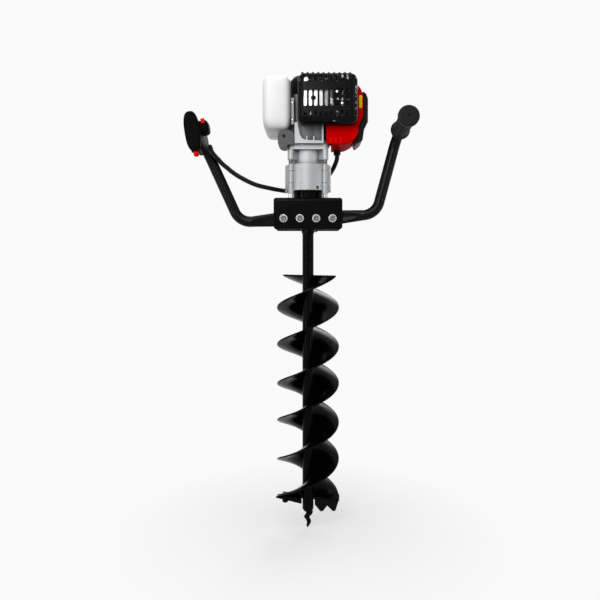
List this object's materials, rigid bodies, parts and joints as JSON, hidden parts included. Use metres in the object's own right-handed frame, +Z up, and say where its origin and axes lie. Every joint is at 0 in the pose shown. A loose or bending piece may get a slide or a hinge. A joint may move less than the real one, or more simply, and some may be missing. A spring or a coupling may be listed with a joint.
{
  "type": "earth auger",
  "caption": "Petrol earth auger: small engine over a planetary gearbox, bent tube handles with a throttle grip, and a spiral bit with toothed cutting blades and a screw point.",
  "frame": {"origin": "On the drill axis, at the middle of the cross pin that holds the bit on the output shaft.", "axes": "+Z up along the drill axis, -Y towards the operator, +X to the operator's right."},
  "size_m": [0.4995, 0.3291, 1.097],
  "materials": {
    "black_paint": "satin",
    "zinc": "bright zinc",
    "steel": "machined",
    "cast_aluminium": "as cast",
    "black_rubber": "matte",
    "black_plastic": "satin",
    "grey_plastic": "matte",
    "red_plastic": "gloss",
    "tank_plastic": "translucent",
    "rope": "braided"
  },
  "bodies": {
    "machine": {"mounting_spacer": "black_paint", "bracket": "black_paint", "left_handle": "black_paint", "right_handle": "black_paint", "gearbox_bolts": "zinc", "jam_nuts": "zinc", "handle_bolts": "zinc", "handle_nuts": "zinc", "housing_screws": "zinc", "output_bearing": "steel", "input_bearing": "steel", "muffler": "steel", "spark_plug": "steel", "ring_gear_case": "cast_aluminium", "gearbox_bottom": "cast_aluminium", "gearbox_top": "cast_aluminium", "clutch_housing": "cast_aluminium", "crankcase": "cast_aluminium", "cylinder": "cast_aluminium", "carburettor": "cast_aluminium", "shaft_seal": "black_rubber", "right_grip": "black_rubber", "throttle_cable": "black_rubber", "cable_gland": "black_rubber", "throttle_case_outer": "black_plastic", "throttle_case_inner": "black_plastic", "end_cover": "black_plastic", "muffler_guard": "black_plastic", "recoil_housing": "black_plastic", "air_filter": "black_plastic", "tank_stand": "grey_plastic", "cylinder_shroud": "red_plastic", "fuel_tank": "tank_plastic"},
    "bit": {"auger_tube": "black_paint", "bit_collar": "black_paint", "flight_one": "black_paint", "flight_two": "black_paint", "cutting_blades": "black_paint", "blade_bolts": "black_paint", "drill_point": "black_paint", "cross_pin": "zinc", "pin_clip": "zinc", "output_shaft": "steel", "planet_pins": "steel"},
    "sun": {"sun_shaft": "steel"},
    "planet_a": {"planet_one": "steel"},
    "planet_b": {"planet_two": "steel"},
    "planet_c": {"planet_three": "steel"},
    "crank": {"clutch_shoes": "steel", "flywheel": "cast_aluminium", "crankshaft": "steel"},
    "trigger": {"throttle_trigger": "black_plastic"},
    "lock": {"lock_lever": "black_plastic"},
    "switch": {"stop_switch": "red_plastic"},
    "button": {"half_throttle_button": "red_plastic"},
    "starter": {"starter_handle": "black_plastic", "starter_rope": "rope"},
    "pulley": {"starter_pulley": "black_plastic"},
    "cap": {"fuel_cap": "black_plastic"},
    "choke": {"choke_lever": "red_plastic"}
  },
  "joints": [
    {"name": "bit_spin", "type": "hinge", "parent": "machine", "child": "bit", "pos_m": [0, 0, 0], "axis": [0, 0, 1], "continuous": true},
    {"name": "sun_spin", "type": "hinge", "parent": "machine", "child": "sun", "pos_m": [0, 0, 0.15], "axis": [0, 0, 1], "continuous": true},
    {"name": "planet_a_spin", "type": "hinge", "parent": "bit", "child": "planet_a", "pos_m": [0.0225, 0, 0.125], "axis": [0, 0, 1], "continuous": true},
    {"name": "planet_b_spin", "type": "hinge", "parent": "bit", "child": "planet_b", "pos_m": [-0.01125, 0.01949, 0.125], "axis": [0, 0, 1], "continuous": true},
    {"name": "planet_c_spin", "type": "hinge", "parent": "bit", "child": "planet_c", "pos_m": [-0.01125, -0.01949, 0.125], "axis": [0, 0, 1], "continuous": true},
    {"name": "crank_spin", "type": "hinge", "parent": "machine", "child": "crank", "pos_m": [0, 0, 0.24], "axis": [0, 0, 1], "continuous": true},
    {"name": "trigger_squeeze", "type": "hinge", "parent": "machine", "child": "trigger", "pos_m": [-0.237, -0.12249, 0.1755], "axis": [-0.986, 0.0203, -0.1658], "range_deg": [0, 9], "stiffness_Nm_per_rad": 0.8, "springref_deg": -11.46},
    {"name": "lock_press", "type": "hinge", "parent": "machine", "child": "lock", "pos_m": [-0.24643, -0.17682, 0.22489], "axis": [-0.986, 0.0203, -0.1658], "range_deg": [0, 7], "stiffness_Nm_per_rad": 0.4, "springref_deg": -11.46},
    {"name": "stop_slide", "type": "slide", "parent": "machine", "child": "switch", "axis": [-0.0325, -0.9969, 0.0714], "range_m": [0, 0.006]},
    {"name": "half_throttle_press", "type": "slide", "parent": "machine", "child": "button", "axis": [-0.1638, 0.0758, 0.9836], "range_m": [0, 0.004], "stiffness_N_per_m": 800, "springref_m": -0.002},
    {"name": "starter_pull", "type": "slide", "parent": "machine", "child": "starter", "axis": [0, 1, 0], "range_m": [0, 0.7], "stiffness_N_per_m": 15, "springref_m": -0.5, "deforming": ["starter_rope"]},
    {"name": "pulley_spin", "type": "hinge", "parent": "machine", "child": "pulley", "pos_m": [0, 0, 0.345], "axis": [0, 0, 1], "range_deg": [0, 1185]},
    {"name": "cap_turn", "type": "hinge", "parent": "machine", "child": "cap", "pos_m": [-0.077, 0.053, 0.37], "axis": [0, 0, 1], "range_deg": [0, 540]},
    {"name": "choke_swing", "type": "hinge", "parent": "machine", "child": "choke", "pos_m": [0.016, 0.094, 0.274], "axis": [0, 1, 0], "range_deg": [0, 60]}
  ],
  "couplings": [
    {"joint": "sun_spin", "follows": "bit_spin", "ratio": 6},
    {"joint": "planet_a_spin", "follows": "bit_spin", "ratio": -2.5},
    {"joint": "planet_b_spin", "follows": "bit_spin", "ratio": -2.5},
    {"joint": "planet_c_spin", "follows": "bit_spin", "ratio": -2.5},
    {"joint": "pulley_spin", "follows": "starter_pull", "rad_per_m": 29.41}
  ]
}
